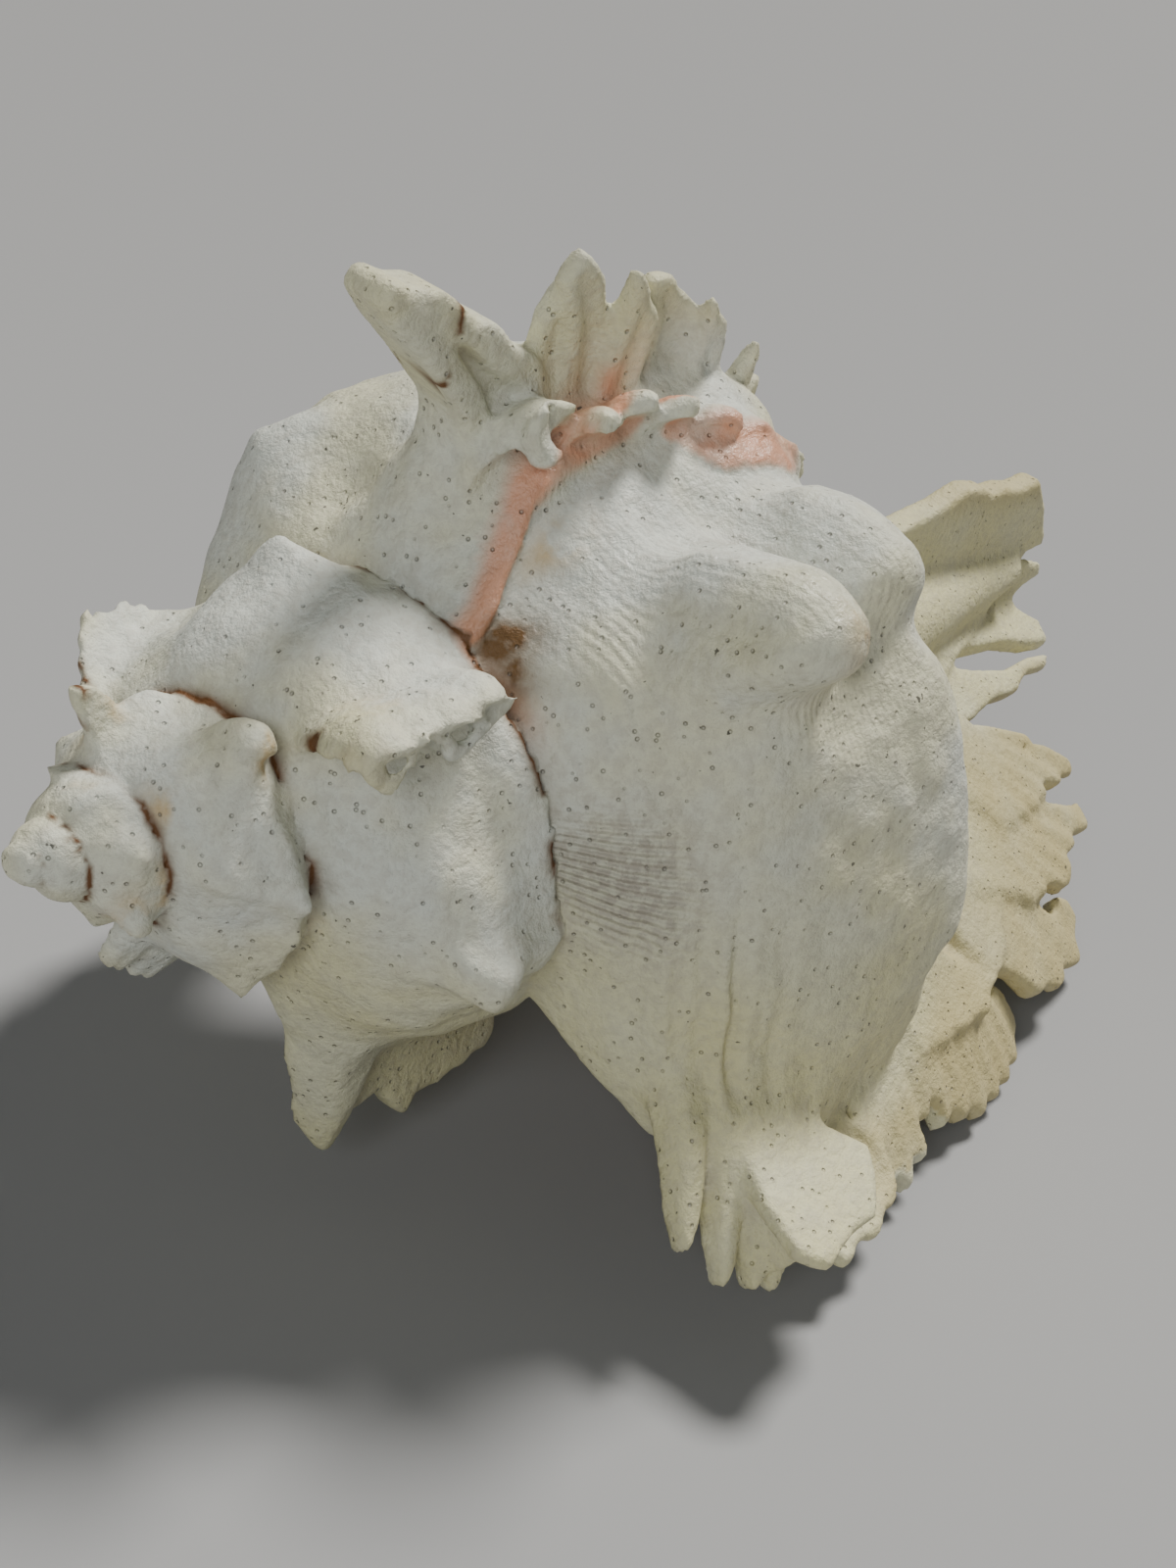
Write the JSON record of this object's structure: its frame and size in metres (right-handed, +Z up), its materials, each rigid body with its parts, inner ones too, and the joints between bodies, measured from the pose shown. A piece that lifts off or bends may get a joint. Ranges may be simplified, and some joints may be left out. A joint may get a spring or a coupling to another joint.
{
  "type": "murex shell",
  "caption": "Large ramose murex sea shell lying on its aperture, with leafy spines on its growth ridges, a knobbed spire and a slotted canal.",
  "frame": {"origin": "centre of the bounding box on the surface that the shell lies on", "axes": "+X along the shell's axis from the apex to the canal, +Z up, -Y towards the side of the outer lip"},
  "size_m": [0.1892, 0.1072, 0.104],
  "materials": {
    "shell": "chalky cream-white shell, semi-gloss in patches, with salmon-pink enamel along old lip edges, rust-brown sutures and ochre stains"
  },
  "bodies": {
    "root": {"shell": "shell"}
  },
  "joints": []
}
